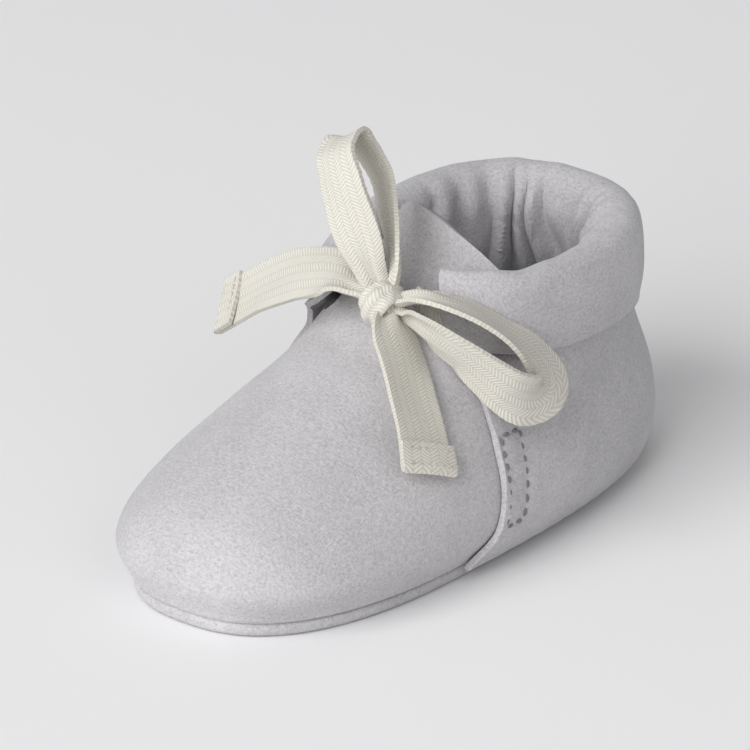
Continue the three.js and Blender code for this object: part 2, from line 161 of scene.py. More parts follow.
CLOTH_LIGHT = (0.58, 0.566, 0.580, 1.0)
CLOTH_DARK = (0.36, 0.350, 0.362, 1.0)
LINING_LIGHT = (0.31, 0.30, 0.31, 1)
LINING_DARK = (0.17, 0.164, 0.17, 1)


def clamp(x, low=0.0, high=1.0):
    return max(low, min(high, x))


def lerp(a, b, t):
    return a + (b - a) * t


def smooth(x, low, high):
    t = clamp((x - low) / (high - low))
    return t * t * (3 - 2 * t)


def ring_at(v):
    """The ring at height v of the stack, from 0 at the floor to 1 at the rim."""
    t = clamp(v) * (len(RINGS) - 1)
    i = min(floor(t), len(RINGS) - 2)
    f = t - i
    ring = {}
    for k, key in enumerate(RING_KEYS):
        b, c = RINGS[i][k], RINGS[i + 1][k]
        a = RINGS[i - 1][k] if i > 0 else 2 * b - c
        d = RINGS[i + 2][k] if i + 2 < len(RINGS) else 2 * c - b
        cubic = (-a + 3 * b - 3 * c + d) * f**3
        ring[key] = 0.5 * (2 * b + (c - a) * f + (2 * a - 5 * b + 4 * c - d) * f * f + cubic)
    return ring


def foot(angle, v):
    """Outer face of the foot shape. The angle is 0 at the heel and 180 at the toe, positive on +X."""
    ring = ring_at(v)
    c, s = cos(radians(angle)), sin(radians(angle))
    k = 2 / (ring["heel_power"] if c > 0 else ring["toe_power"])
    across = (1 if s > 0 else -1) * abs(s) ** k
    along = (1 if c > 0 else -1) * abs(c) ** k
    reach = ring["heel"] - ring["widest"] if c > 0 else ring["widest"] - ring["toe"]
    y = ring["widest"] + reach * along
    share = (y - ring["toe"]) / (ring["heel"] - ring["toe"])
    return Vector((ring["half"] * across, y, lerp(ring["toe_z"], ring["heel_z"], share)))


def normal_of(place, a, b, step=0.004):
    along = place(min(a + step, 1), b) - place(max(a - step, 0), b)
    up = place(a, min(b + step, 1)) - place(a, max(b - step, 0))
    return along.cross(up).normalized()


def foot_normal(angle, v):
    low = min(v, 0.98)
    return normal_of(lambda p, q: foot(angle - 4 * (p - 0.5), low + 0.02 * (q - 0.5)), 0.5, 0.5)


def laid_cloth(name, place, steps, size, wall, side=0, turned=0.35, weld=False):
    """A sheet of cloth: a grid laid on place(a, b), given its wall and a turned, rounded edge.
    Its size is what it measures when flat, and welding joins its ends into a ring."""
    bm = bmesh.new()
    uv = bm.loops.layers.uv.new("UVMap")
    bmesh.ops.create_grid(bm, x_segments=steps[0], y_segments=steps[1], size=0.5)
    for face in bm.faces:
        for loop in face.loops:
            across, up = loop.vert.co.x + 0.5, loop.vert.co.y + 0.5
            loop[uv].uv = (across * size[0] * MM, up * size[1] * MM)
    for vert in bm.verts:
        vert.co = place(vert.co.x + 0.5, vert.co.y + 0.5) * MM
    if weld:
        bmesh.ops.remove_doubles(bm, verts=bm.verts, dist=WELD_DISTANCE * MM)
        bmesh.ops.recalc_face_normals(bm, faces=bm.faces)
    for face in bm.faces:
        face.smooth = True
    piece = link_mesh(name, bm)
    thicken = piece.modifiers.new("wall", "SOLIDIFY")
    thicken.thickness = wall * MM
    thicken.offset = side
    if turned:
        turn_edge = piece.modifiers.new("turned_edge", "BEVEL")
        turn_edge.width = turned * MM
        turn_edge.segments = 2
        turn_edge.limit_method = "ANGLE"
        turn_edge.angle_limit = radians(EDGE_ANGLE)
    refine = piece.modifiers.new("refine", "SUBSURF")
    refine.levels = refine.render_levels = 1
    return piece


def new_group(name, inputs, outputs):
    group = bpy.data.node_groups.new(name, "ShaderNodeTree")
    for socket, kind, value in inputs:
        made = group.interface.new_socket(socket, in_out="INPUT", socket_type=kind)
        made.default_value = value
    for socket, kind in outputs:
        group.interface.new_socket(socket, in_out="OUTPUT", socket_type=kind)
    return group, group.nodes.new("NodeGroupInput"), group.nodes.new("NodeGroupOutput")


def math_node(tree, operation, *values):
    node = tree.nodes.new("ShaderNodeMath")
    node.operation = operation
    for i, value in enumerate(values):
        if isinstance(value, (int, float)):
            node.inputs[i].default_value = value
        else:
            tree.links.new(value, node.inputs[i])
    return node.outputs[0]


def noise_node(tree, vector, scale, detail, stretch=(1, 1, 1)):
    mapping = tree.nodes.new("ShaderNodeMapping")
    mapping.inputs["Scale"].default_value = stretch
    tree.links.new(vector, mapping.inputs["Vector"])
    texture = tree.nodes.new("ShaderNodeTexNoise")
    texture.inputs["Scale"].default_value = scale
    texture.inputs["Detail"].default_value = detail
    tree.links.new(mapping.outputs[0], texture.inputs["Vector"])
    return texture.outputs["Fac"]


def brushed_nap_group():
    """The brushed face of the cloth: uneven yarns along and across it, loose fibres, rubbed patches."""
    group, source, result = new_group(
        "brushed_nap",
        [("Vector", "NodeSocketVector", (0, 0, 0)), ("Patchiness", "NodeSocketFloat", 0.35)],
        [("Shade", "NodeSocketFloat"), ("Height", "NodeSocketFloat")],
    )
    vector = source.outputs["Vector"]
    warp = noise_node(group, vector, YARN_SCALE, 2, (1.0, 0.35, 1.0))
    weft = noise_node(group, vector, YARN_SCALE, 2, (0.35, 1.0, 0.6))
    fibres = noise_node(group, vector, FIBRE_SCALE, 2)
    patches = noise_node(group, vector, PATCH_SCALE, 2)
    yarns = math_node(group, "MULTIPLY", math_node(group, "ADD", warp, weft), YARN_SHARE)
    height = math_node(group, "MULTIPLY_ADD", fibres, FIBRE_SHARE, yarns)
    rubbed = math_node(group, "SUBTRACT", patches, 0.5)
    spread = math_node(group, "MULTIPLY", rubbed, source.outputs["Patchiness"])
    shade = math_node(group, "ADD", height, spread)
    centred = math_node(group, "SUBTRACT", shade, NAP_MIDDLE)
    sharper = math_node(group, "MULTIPLY_ADD", centred, NAP_CONTRAST, 0.5)
    above_dark = math_node(group, "MAXIMUM", sharper, 0.0)
    group.links.new(math_node(group, "MINIMUM", above_dark, 1.0), result.inputs["Shade"])
    group.links.new(height, result.inputs["Height"])
    return group


brushed_nap = brushed_nap_group()


def mix_colour(tree, factor, dark, light):
    mix = tree.nodes.new("ShaderNodeMix")
    mix.data_type = "RGBA"
    mix.inputs["A"].default_value = dark
    mix.inputs["B"].default_value = light
    tree.links.new(factor, mix.inputs["Factor"])
    return mix.outputs["Result"]


def add_bump(tree, shader, height, strength, distance):
    bump = tree.nodes.new("ShaderNodeBump")
    bump.inputs["Strength"].default_value = strength
    bump.inputs["Distance"].default_value = distance * MM
    tree.links.new(height, bump.inputs["Height"])
    tree.links.new(bump.outputs["Normal"], shader.inputs["Normal"])


def nap_material(name, dark, light, patchiness, strength):
    material, shader = plain_material(name, light, 0.95)
    shader.inputs["Specular IOR Level"].default_value = 0.15
    shader.inputs["Sheen Weight"].default_value = 0.22
    shader.inputs["Sheen Roughness"].default_value = 0.55
    tree = material.node_tree
    nap = tree.nodes.new("ShaderNodeGroup")
    nap.node_tree = brushed_nap
    nap.inputs["Patchiness"].default_value = patchiness
    place = tree.nodes.new("ShaderNodeTexCoord")
    tree.links.new(place.outputs["Object"], nap.inputs["Vector"])
    tree.links.new(mix_colour(tree, nap.outputs["Shade"], dark, light), shader.inputs["Base Color"])
    add_bump(tree, shader, nap.outputs["Height"], strength, 0.5)
    return material


brushed_cotton = nap_material("brushed_cotton", CLOTH_DARK, CLOTH_LIGHT, 0.2, 0.5)
lining_cotton = nap_material("lining_cotton", LINING_DARK, LINING_LIGHT, 0.3, 0.45)


def pucker(angle):
    """Small gathers along the sole seam, evenly spaced round the outline."""
    even = sin(2 * pi * angle / 360 * round(PUCKER_ROUND / PUCKER_PITCH))
    return even + 0.5 * noise.noise(Vector((angle / 9, 3.0, 0.0)))


def sole_outline(v, inset, angle):
    edge = foot(angle, v)
    out = foot_normal(angle, v)
    flat = Vector((out.x, out.y, 0)).normalized()
    return Vector((edge.x, edge.y, 0)) - flat * inset


def sole_slab(name, v, inset, bottom, height, crown, puckered, edge):
    """A flat pad with the sole's outline: a round grid from its middle out to its edge."""
    def place(a, b):
        angle = 360 * a
        gather = PUCKER_DEPTH * pucker(angle) * puckered * smooth(b, 0.9, 1)
        rim = sole_outline(v, inset + gather, angle)
        centre = Vector((0, clamp(rim.y, -26, 24), 0))
        point = centre.lerp(rim, b)
        point.z = bottom + height / 2 + crown * (1 - b * b)
        return point
    return laid_cloth(name, place, SOLE_STEPS, SOLE_FLAT, height, turned=edge, weld=True)


outsole = sole_slab("outsole_cloth", SOLE_OUTLINE_V, SOLE_INSET, 0.0, SOLE_HEIGHT, 0.0, 1, SOLE_EDGE)
outsole.data.materials.append(brushed_cotton)
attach(outsole, "root")
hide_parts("outsole")

# ---- Foam pad and insole ----------------------------------------------------------------------
# A sheet of soft foam lies in the upper on the outsole, and a lining cloth covers it. Both are
# cut to the sole's outline, inside the upper's plies.
INSOLE_V = 0.25
INSOLE_INSET = 3.1
INSOLE_HEIGHT = 0.9
INSOLE_CROWN = 0.25
FOAM_EDGE, INSOLE_EDGE = 0.6, 0.3
FOAM_COLOUR = ((0.70, 0.68, 0.63, 1), (0.86, 0.84, 0.79, 1))
foam_low, foam_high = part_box("sole_padding")
foam_height = (foam_high.z - foam_low.z) / MM
insole_low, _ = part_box("insole_lining")

foam_pad = sole_slab("foam_pad", INSOLE_V, INSOLE_INSET, foam_low.z / MM, foam_height, 0.0, 0, FOAM_EDGE)
foam_pad.data.materials.append(nap_material("foam", *FOAM_COLOUR, 0.1, 0.8))
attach(foam_pad, "root")
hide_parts("sole_padding")

insole = sole_slab(
    "insole_cloth", INSOLE_V, INSOLE_INSET, insole_low.z / MM, INSOLE_HEIGHT, INSOLE_CROWN, 0, INSOLE_EDGE
)
insole.data.materials.append(lining_cotton)
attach(insole, "root")
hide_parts("insole_lining")

# ---- Vamp and tongue --------------------------------------------------------------------------
# One piece of brushed cloth goes over the toes and instep and runs up into the tongue. It is bagged
# out with a lining, so both plies end at a turned edge. The tongue bends where it leaves the instep.
QUARTER_EDGE = {
    1: [(0.2, 88), (0.375, 90), (0.5, 88), (0.625, 78), (0.75, 61), (0.875, 39), (1, 20)],
    -1: [(0.2, 88), (0.375, 90), (0.5, 89), (0.625, 85), (0.75, 72), (0.875, 43), (1, 20)],
}
VAMP_OVERLAP = 17
VAMP_LOW_V, VAMP_TOP_V = 0.210, 0.868
VAMP_SHARE = 0.74
SHOULDER = 46
CLOTH_WALL = 1.25
VAMP_TUCK, VAMP_TUCK_V = 0.5, 0.238
VAMP_SOFT = 0.28
LINING_WALL = 0.8
LINING_TURN = 0.2
PLY_GAP = 0.06
TONGUE_HALF = 12.0
TONGUE_SHIFT = 0.3
TONGUE_CROWN = 4.9
TONGUE_CURL = {-1: 0.6, 1: 1.2}
TONGUE_RISE = [(-9.3, 34.7), (2.6, 39.9), (6.6, 43.5), (9.4, 50.6)]
TONGUE_TOP = [
    (-1, 0.80), (-0.9, 0.875), (-0.8, 0.935), (-0.65, 0.985), (-0.5, 1.0), (-0.25, 0.998),
    (0, 0.982), (0.25, 0.935), (0.5, 0.868), (0.75, 0.778), (1, 0.66),
]
TONGUE_LOW = 0.05
RISE_STEPS = 200


def table(rows, x):
    """A smooth curve through (x, y) rows, level past its ends."""
    if x <= rows[0][0]:
        return rows[0][1]
    if x >= rows[-1][0]:
        return rows[-1][1]
    i = next(k for k, row in enumerate(rows) if row[0] > x) - 1

    def slope(k):
        a, b = rows[max(k - 1, 0)], rows[min(k + 1, len(rows) - 1)]
        return (b[1] - a[1]) / (b[0] - a[0])

    step = rows[i + 1][0] - rows[i][0]
    f = (x - rows[i][0]) / step
    start = (2 * f**3 - 3 * f * f + 1) * rows[i][1] + (f**3 - 2 * f * f + f) * step * slope(i)
    return start + (3 * f * f - 2 * f**3) * rows[i + 1][1] + (f**3 - f * f) * step * slope(i + 1)


def quarter_edge(v, side=1):
    """Angle between the toe and the quarter's front edge, on the +X side (1) or the -X side (-1)."""
    return table(QUARTER_EDGE[1 if side > 0 else -1], v)


def rise_point(t):
    """Point (y, z) up the middle of the tongue."""
    a, b, c, d = (Vector(p) for p in TONGUE_RISE)
    return a * (1 - t) ** 3 + b * 3 * t * (1 - t) ** 2 + c * 3 * t * t * (1 - t) + d * t**3


rise_lengths = [0.0]
for step in range(RISE_STEPS):
    piece_length = (rise_point((step + 1) / RISE_STEPS) - rise_point(step / RISE_STEPS)).length
    rise_lengths.append(rise_lengths[-1] + piece_length)


def rise_at(share):
    """The same point, by its share of the way along the curve."""
    want = clamp(share) * rise_lengths[-1]
    i = max(k for k, length in enumerate(rise_lengths[:-1]) if length <= want)
    f = (want - rise_lengths[i]) / (rise_lengths[i + 1] - rise_lengths[i])
    return rise_point((i + f) / RISE_STEPS)


def tongue_place(side, b):
    middle = rise_at(table(TONGUE_TOP, side) * b)
    behind = (TONGUE_CROWN + TONGUE_CURL[1 if side > 0 else -1] * b) * side * side
    return Vector((TONGUE_SHIFT * b + TONGUE_HALF * side, middle.x + behind, middle.y))


def vamp_place(narrower):
    """The vamp and, past VAMP_SHARE of the way up, the tongue. A lining is that much narrower."""
    def place(a, b):
        side = 2 * a - 1
        if b > VAMP_SHARE:
            return tongue_place(side, lerp(TONGUE_LOW, 1, (b - VAMP_SHARE) / (1 - VAMP_SHARE)))
        v = lerp(VAMP_LOW_V, VAMP_TOP_V, b / VAMP_SHARE)
        lapped = quarter_edge(v, side) + VAMP_OVERLAP - narrower
        half = lerp(lapped, SHOULDER, smooth(v, 0.82, VAMP_TOP_V))
        angle = 180 - half * side
        point = foot(angle, v)
        out = foot_normal(angle, v)
        seam = PUCKER_DEPTH * pucker(angle) * (1 - smooth(v, VAMP_LOW_V, 0.32))
        soft = VAMP_SOFT * noise.noise(point / 11) * smooth(v, 0.25, 0.4)
        tuck = VAMP_TUCK * (1 - smooth(v, VAMP_LOW_V, VAMP_TUCK_V))
        return point + out * (soft - seam - tuck)
    return place


def offset_place(place, away):
    """The same surface, moved off along its own direction."""
    return lambda a, b: place(a, b) + normal_of(place, a, b, 0.008) * away


vamp = laid_cloth("vamp_and_tongue", vamp_place(0), (124, 88), (130, 92), CLOTH_WALL, side=-1)
vamp.data.materials.append(brushed_cotton)
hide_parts("vamp_outer", "tongue_outer")
vamp_lining_place = offset_place(vamp_place(1), -CLOTH_WALL - PLY_GAP)
vamp_lining = laid_cloth(
    "vamp_and_tongue_lining", vamp_lining_place, (90, 70), (128, 90), LINING_WALL, side=-1, turned=LINING_TURN
)
vamp_lining.data.materials.append(lining_cotton)
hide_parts("vamp_lining", "tongue_lining")
for ply in (vamp, vamp_lining):
    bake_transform(ply)

# ---- Quarter ----------------------------------------------------------------------------------
# One panel of brushed cloth wraps round the heel. Its front edges are turned under, lie on the vamp
# and are held low down by a box stitch, which pulls the cloth in along its rows.
QUARTER_LOW_V = 0.222
QUARTER_RIM_V = 0.985
QUARTER_OUT = 0.4
EDGE_IN, EDGE_REACH = 0.10, 1.6
GAPE, GAPE_REACH = 1.3, 3.5
SOFT_WAVES, SOFT_CREASES = 0.45, 0.3
FOLD_SHARE = 0.35
FAR_BACK = 99.0
BOX_V = (0.375, 0.59)
BOX_BACK = (1.3, 5.9)
STITCH_PITCH = 2.15
SEWN_IN, SEWN_REACH = 0.5, 0.72
MM_PER_V = 62


def angle_at(y, v):
    """Angle round from the heel at which the ring at height v has that y."""
    ring = ring_at(v)
    behind = y > ring["widest"]
    reach = ring["heel"] - ring["widest"] if behind else ring["widest"] - ring["toe"]
    power = ring["heel_power"] if behind else ring["toe_power"]
    turned = degrees(asin(clamp(abs(y - ring["widest"]) / reach) ** (power / 2)))
    return 90 - turned if behind else 90 + turned


def box_rows():
    """The rectangle's corners as (distance behind the front edge, height v), in sewing order."""
    (near, far), (low, top) = BOX_BACK, BOX_V
    return [(near, top), (far, top), (far, low), (near, low)]


def near_box(back, v):
    """How close a point is to the sewn rectangle: 1 on its rows and 0 away from it."""
    (near, far), (low, top) = BOX_BACK, BOX_V
    across = max(near - back, back - far, 0)
    along = max(low - v, v - top, 0) * MM_PER_V
    if across or along:
        away = hypot(across, along)
    else:
        away = min(back - near, far - back, (v - low) * MM_PER_V, (top - v) * MM_PER_V)
    return exp(-((away / SEWN_REACH) ** 2))


# Each gather of the elastic, as its angle round from the heel, its half width and its depth.
GATHERS = [
    (-84, 5, 0.6), (-68, 6, 1.0), (-53, 5, 0.8), (-39, 6, 1.3), (-24, 5, 1.0), (-10, 6, 1.35),
    (4, 5, 0.9), (17, 5.5, 1.2), (32, 5, 0.8), (46, 6, 1.2), (62, 5, 0.8), (78, 6, 0.9),
]


def gathered(angle):
    """How deep the gathers are at that angle, from 0 to about 1.35."""
    return sum(depth * exp(-(((angle - at) / width) ** 2)) for at, width, depth in GATHERS)


def quarter_lift(angle, v):
    """How far the quarter's inner face stands off the foot shape."""
    point = foot(angle, v)
    back = point.y - foot(180 - quarter_edge(v, angle), v).y if abs(angle) > 60 else FAR_BACK
    edge = EDGE_IN * exp(-((back / EDGE_REACH) ** 2))
    gape = GAPE * exp(-((back / GAPE_REACH) ** 2)) * smooth(v, 0.68, 0.78) * (angle < 0)
    sewn = SEWN_IN * near_box(back, v) if back < 12 else 0.0
    waves = SOFT_WAVES * noise.noise(point / 13 + Vector((7, 0, 0)))
    creases = SOFT_CREASES * noise.noise(Vector((angle / 7, v * 2.2, 4)))
    soft = (waves + creases) * smooth(v, 0.28, 0.45)
    folds = FOLD_SHARE * (gathered(angle) - 0.5) * smooth(v, 0.55, 0.9)
    seam = PUCKER_DEPTH * pucker(angle) * (1 - smooth(v, QUARTER_LOW_V, 0.33))
    return QUARTER_OUT + gape - edge - sewn + soft - folds - seam


def quarter_place(a, b):
    v = lerp(QUARTER_LOW_V, QUARTER_RIM_V, b)
    side = 1 - 2 * a
    angle = (180 - quarter_edge(v, side)) * side
    return foot(angle, v) + foot_normal(angle, v) * quarter_lift(angle, v)


quarter = laid_cloth("quarter_cloth", quarter_place, (180, 54), (205, 48), CLOTH_WALL - 0.05, side=1)
quarter.data.materials.append(brushed_cotton)
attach(quarter, "root")
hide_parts("quarter_outer")

# ---- Quarter lining and elastic ---------------------------------------------------------------
# The lining of the heel is cut fuller than the quarter, and a narrow elastic sewn between the two
# gathers it into deep upright folds.
LINING_ARC = 118
LINING_TOP_V = 0.955
LINING_IN = 1.2
LINING_CREASE = 0.3
GATHER_DEPTH = 3.1
GATHER_DRIFT = 9
CRUMPLE = 0.5
ELASTIC_V = (0.915, 0.965)
ELASTIC_ARC = 78
ELASTIC_WALL = 0.55
ELASTIC_IN = 0.45
ELASTIC_RIB, ELASTIC_RIBS = 0.08, 3
ELASTIC_COLOUR = ((0.66, 0.65, 0.63, 1), (0.84, 0.83, 0.81, 1))


def gather_at(angle, v):
    """How far the gathered cloth stands in from the wall at that place, in millimetres."""
    drift = GATHER_DRIFT * noise.noise(Vector((angle / 22, v * 4, 1.5)))
    crumple = CRUMPLE * noise.noise(Vector((angle / 6, v * 7, 6.5)))
    return (GATHER_DEPTH * gathered(angle + drift) + crumple) * smooth(v, 0.42, 0.9)


def lining_place(a, b):
    v = lerp(QUARTER_LOW_V, LINING_TOP_V, b)
    start = min(180 - quarter_edge(v) - VAMP_OVERLAP - 3, LINING_ARC)
    angle = start * (1 - 2 * a)
    inward = LINING_IN + gather_at(angle, v) + LINING_CREASE * noise.noise(foot(angle, v) / 6)
    return foot(angle, v) - foot_normal(angle, v) * inward


quarter_lining = laid_cloth(
    "quarter_lining_cloth", lining_place, (170, 44), (170, 44), LINING_WALL, side=-1, turned=LINING_TURN
)
quarter_lining.data.materials.append(lining_cotton)
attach(quarter_lining, "root")
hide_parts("quarter_lining")


def elastic_place(a, b):
    angle = ELASTIC_ARC * (1 - 2 * a)
    v = lerp(*ELASTIC_V, b)
    rib = ELASTIC_RIB * cos(2 * pi * ELASTIC_RIBS * b)
    return foot(angle, v) - foot_normal(angle, v) * (ELASTIC_IN - rib)


elastic = laid_cloth("heel_elastic_band", elastic_place, (90, 12), (72, 4), ELASTIC_WALL)
elastic.data.materials.append(nap_material("elastic", *ELASTIC_COLOUR, 0.1, 0.6))
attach(elastic, "root")
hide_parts("heel_elastic")

# ---- Cuff -------------------------------------------------------------------------------------
# The quarter's top is turned over the rim and down outside as a doubled band with an open front.
# Inside the rim it goes on down the heel, drawn into the same folds as the lining.
CUFF_WALL = 1.35
CUFF_STEP = 2.7
CUFF_FLARE = 1.9
CUFF_INSIDE = -3.1
CUFF_INSIDE_FRONT = -1.1
CUFF_CREST = 2.3
CUFF_ARC = 165
CUFF_BELLY = 0.55
CUFF_SOFT = 0.4
CUFF_EDGE = 0.5
CUFF_FOLDS_END = 0.75
CREST_DENT = 0.42
CREST_EASE = 0.35
CUFF_HEM = [(0, 0.69), (45, 0.725), (90, 0.775), (135, 0.82), (165, 0.86)]
CUFF_INNER_LOW = [(0, 0.60), (60, 0.66), (95, 0.84), (120, 0.94), (165, 0.964)]
INNER_END, CREST_END = 0.36, 0.52


def cuff_place(a, b):
    share = 1 - 2 * a
    round_front = abs(share)
    outside = CUFF_STEP + CUFF_FLARE * smooth(round_front, 0.66, 0.9)
    inside = lerp(CUFF_INSIDE, CUFF_INSIDE_FRONT, smooth(round_front, 0.79, 0.88))
    drawn = smooth(CUFF_FOLDS_END - round_front, 0, 0.12)

    def at(v, away, lift):
        angle = (180 - quarter_edge(v, share)) * share
        point = foot(angle, v) + foot_normal(angle, v) * away
        point.z += lift
        return point, angle

    if b < INNER_END:
        v = lerp(table(CUFF_INNER_LOW, round_front * CUFF_ARC), QUARTER_RIM_V, b / INNER_END)
        angle = (180 - quarter_edge(v, share)) * share
        fade = 1 - 0.45 * smooth(v, 0.93, 0.99)
        return at(v, inside + CREST_EASE - gather_at(angle, v) * fade * drawn, 0)[0]
    if b <= CREST_END:
        arc = pi * (b - INNER_END) / (CREST_END - INNER_END)
        away = (outside + inside) / 2 - (outside - inside) / 2 * cos(arc)
        point, angle = at(QUARTER_RIM_V, away, CUFF_CREST * sin(arc))
        inner = 0.5 + 0.5 * cos(arc)
        dent = gather_at(angle, 0.95) * CREST_DENT * inner * drawn
        ease = CREST_EASE * inner
        point -= foot_normal(angle, QUARTER_RIM_V) * (dent - ease)
        point.z += 0.35 * noise.noise(Vector((angle / 13, 5, 2))) * sin(arc)
        return point
    down = (b - CREST_END) / (1 - CREST_END)
    hem = table(CUFF_HEM, round_front * CUFF_ARC) + 0.006 * noise.noise(Vector((share * 6, 1, 4)))
    v = lerp(QUARTER_RIM_V, hem, down)
    point, angle = at(v, outside, 0)
    belly = CUFF_BELLY * sin(pi * clamp(down * 1.15)) - 0.25 * smooth(down, 0.8, 1)
    soft = CUFF_SOFT * noise.noise(point / 12 + Vector((0, 3, 9))) * smooth(down, 0, 0.2)
    return point + foot_normal(angle, v) * (belly * smooth(1 - round_front, 0.02, 0.2) + soft)


cuff = laid_cloth("cuff_band", cuff_place, (164, 54), (160, 40), CUFF_WALL, turned=CUFF_EDGE)
cuff.data.materials.append(brushed_cotton)
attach(cuff, "root")
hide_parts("cuff")

# ---- Box stitches -----------------------------------------------------------------------------
# On each flank a rectangle of grey thread, sewn through quarter, vamp and linings: short stitches
# that sink into the nap.
STITCH_LENGTH = 1.3
STITCH_RADIUS = 0.36
STITCH_PROUD = 0.12
THREAD_COLOUR = ((0.13, 0.125, 0.135, 1), (0.22, 0.21, 0.225, 1))
sewing_thread = nap_material("sewing_thread", *THREAD_COLOUR, 0.1, 0.4)


def on_quarter(sign, back, v):
    """Point on the outer face of the quarter, that far behind its front edge."""
    edge = foot(180 - quarter_edge(v, sign), v)
    angle = sign * angle_at(edge.y + back, v)
    out = foot_normal(angle, v)
    return foot(angle, v) + out * (quarter_lift(angle, v) + CLOTH_WALL + STITCH_PROUD), out


def add_stitch(bm, start, end, out, radius):
    """One stitch of thread: a small pointed bead of thread laid from start to end."""
    made = bmesh.ops.create_icosphere(bm, subdivisions=2, radius=1.0)["verts"]
    along = end - start
    across = along.cross(out).normalized()
    for vert in made:
        x, y, z = vert.co
        point = (start + end) / 2 + along * (x / 2) + across * (y * radius) + out * (z * radius)
        vert.co = point * MM


def box_stitch(side, sign):
    bm = bmesh.new()
    corners = box_rows()
    reach = STITCH_LENGTH / STITCH_PITCH
    for i, (back, v) in enumerate(corners):
        next_back, next_v = corners[(i + 1) % 4]
        first, _ = on_quarter(sign, back, v)
        last, _ = on_quarter(sign, next_back, next_v)
        count = max(2, round((last - first).length / STITCH_PITCH))
        for k in range(count):
            ends = []
            for t in ((k + 0.5 - reach / 2) / count, (k + 0.5 + reach / 2) / count):
                ends.append(on_quarter(sign, lerp(back, next_back, t), lerp(v, next_v, t)))
            (start, out), (end, _) = ends
            add_stitch(bm, start, end, out, STITCH_RADIUS)
    for face in bm.faces:
        face.smooth = True
    stitches = link_mesh(f"box_stitch_thread_{side}", bm)
    stitches.data.materials.append(sewing_thread)
    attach(stitches, "root")
    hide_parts(f"box_stitch_{side}")


box_stitch("left", -1)
box_stitch("right", 1)

# ---- Straps -----------------------------------------------------------------------------------
# Two cotton tapes in a herringbone weave, each sewn in under a front corner of the cuff. A strap is
# the short stretch from that seam to the knot, drawn in to a third of the tape's width. On the
# tape's UV map its length is U and its width V.
TAPE_WIDTH = 10.0
TAPE_WALL = 0.75
HERRINGBONE = 1.66
WEFT_PITCH = 0.62
RIB_SLANT = 1.6
RIB_WOBBLE = 0.5
RIB_SHARE, GROOVE_SHARE = 0.75, 0.4
GROOVE_SHARPNESS = 5.0
WOBBLE_SCALE, TAPE_FIBRE_SCALE = 700, 5200
TAPE_DARK = (0.43, 0.41, 0.345, 1)
TAPE_LIGHT = (0.73, 0.71, 0.65, 1)
GATHER = 0.58
GATHER_REACH = 0.13
TAPE_STEP, TAPE_STEPS_ACROSS = 0.42, 18
TAPE_EDGE = 0.22
PLEAT_DEPTH, PLEATS = 0.75, 1.5
CUP_DEPTH = 0.30
EDGE_RIPPLE, RIPPLE_PITCH = 0.10, 1.25
TAPE_WANDER = 0.35
HEM_TURN = 0.62
HEM_GAP = 0.16
KNOT = Vector((3.0, -7.6, 41.0))
STRAP_WIDTH = 3.2
STRAP_V = 0.935
STRAP_ARC = (29, 38, 47)
STRAP_AWAY = 2.7
STRAP_BEHIND = 4.7
STRAP_APART = 2.2
STRAP_START = {"left": -0.6, "right": 0.8}


def herringbone_group():
    """Herringbone twill: slanted ribs that change their slant from one lengthwise stripe to the next."""
    group, source, result = new_group(
        "herringbone",
        [("Vector", "NodeSocketVector", (0, 0, 0))],
        [("Height", "NodeSocketFloat"), ("Shade", "NodeSocketFloat")],
    )
    vector = source.outputs["Vector"]
    parts = group.nodes.new("ShaderNodeSeparateXYZ")
    group.links.new(vector, parts.inputs[0])
    stripe = math_node(group, "DIVIDE", math_node(group, "DIVIDE", parts.outputs["Y"], MM), HERRINGBONE)
    along = math_node(group, "DIVIDE", math_node(group, "DIVIDE", parts.outputs["X"], MM), WEFT_PITCH)
    slanted = math_node(group, "MULTIPLY_ADD", math_node(group, "PINGPONG", stripe, 1.0), RIB_SLANT, along)
    wobble = math_node(group, "MULTIPLY", noise_node(group, vector, WOBBLE_SCALE, 2), RIB_WOBBLE)
    phase = math_node(group, "MULTIPLY", math_node(group, "ADD", slanted, wobble), 2 * pi)
    wave = math_node(group, "MULTIPLY_ADD", math_node(group, "SINE", phase), 0.5, 0.5)
    turn_line = math_node(group, "MULTIPLY", math_node(group, "PINGPONG", stripe, 0.5), GROOVE_SHARPNESS)
    groove = math_node(group, "MINIMUM", turn_line, 1.0)
    fibre = noise_node(group, vector, TAPE_FIBRE_SCALE, 2)
    rib = math_node(group, "MULTIPLY_ADD", wave, RIB_SHARE, 1 - RIB_SHARE)
    stripes = math_node(group, "MULTIPLY_ADD", groove, GROOVE_SHARE, 1 - GROOVE_SHARE)
    height = math_node(group, "MULTIPLY", rib, stripes)
    group.links.new(math_node(group, "MULTIPLY_ADD", fibre, 0.35, height), result.inputs["Height"])
    shade = math_node(group, "MULTIPLY_ADD", height, 0.75, math_node(group, "MULTIPLY", fibre, 0.45))
    group.links.new(math_node(group, "MINIMUM", shade, 1.0), result.inputs["Shade"])
    return group


herringbone = herringbone_group()


def tape_material():
    material, shader = plain_material("twill_tape", TAPE_LIGHT, 0.9)
    shader.inputs["Specular IOR Level"].default_value = 0.2
    shader.inputs["Sheen Weight"].default_value = 0.12
    tree = material.node_tree
    weave = tree.nodes.new("ShaderNodeGroup")
    weave.node_tree = herringbone
    place = tree.nodes.new("ShaderNodeUVMap")
    place.uv_map = "UVMap"
    tree.links.new(place.outputs["UV"], weave.inputs["Vector"])
    colour = mix_colour(tree, weave.outputs["Shade"], TAPE_DARK, TAPE_LIGHT)
    tree.links.new(colour, shader.inputs["Base Color"])
    add_bump(tree, shader, weave.outputs["Height"], 0.6, 0.16)
    return material


twill_tape = tape_material()


